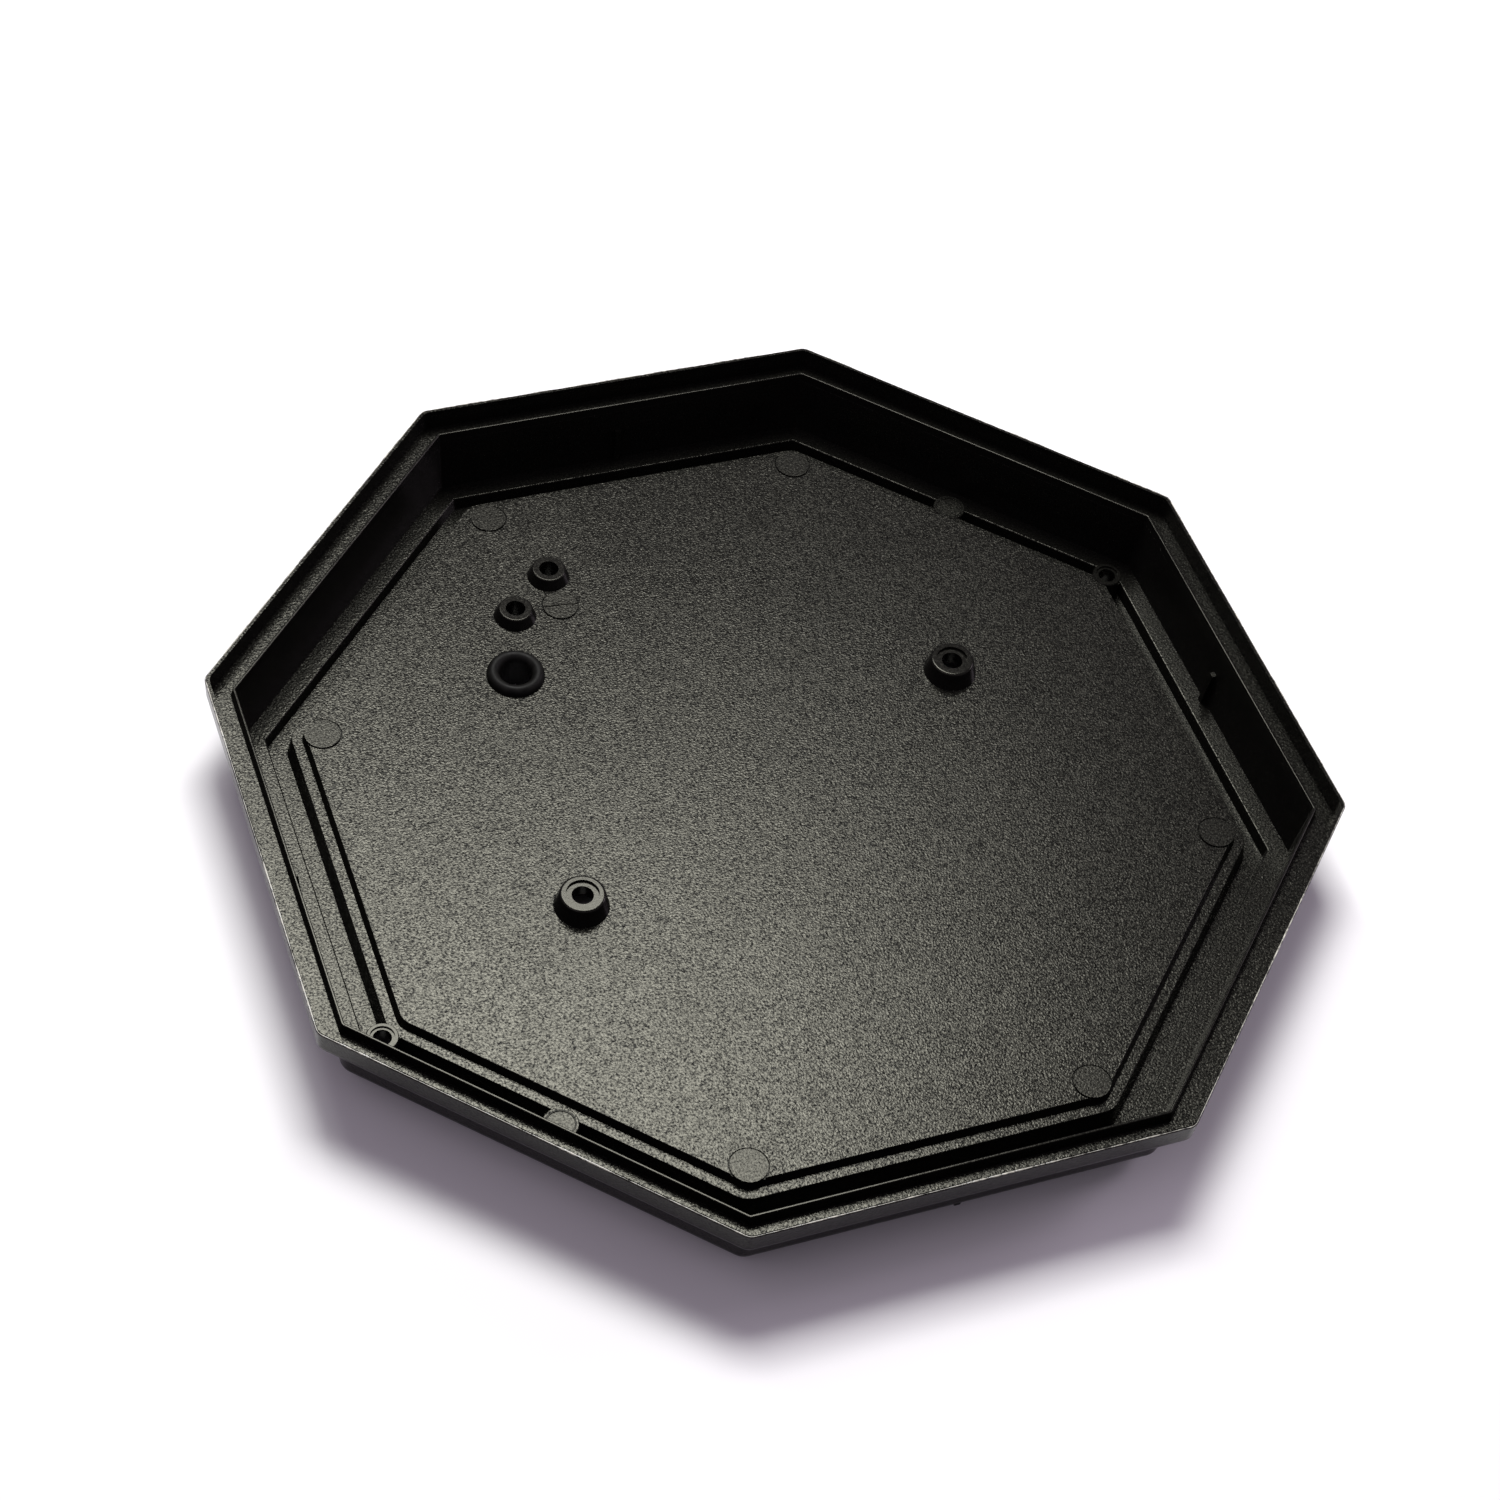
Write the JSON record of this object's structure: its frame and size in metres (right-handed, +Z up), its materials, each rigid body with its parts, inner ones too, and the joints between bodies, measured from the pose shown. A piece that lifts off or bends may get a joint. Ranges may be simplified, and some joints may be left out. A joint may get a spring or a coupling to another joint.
{
  "type": "octagonal housing tray",
  "caption": "Octagonal moulded housing tray, open side up, with gasket channel, stepped floor, screw bosses and a rubber cable bush.",
  "frame": {"origin": "centre of the foot ring's rest plane, on the octagon's axis", "axes": "+Z up out of the open side, square to the floor; +X and +Y each point at the middle of a side"},
  "size_m": [0.175, 0.175, 0.0174],
  "materials": {
    "tray_plastic": "black, fine spark-eroded grain, satin",
    "bush_rubber": "smooth matte black"
  },
  "bodies": {
    "root": {"housing_tray": "tray_plastic", "cable_bush": "bush_rubber"}
  },
  "joints": []
}
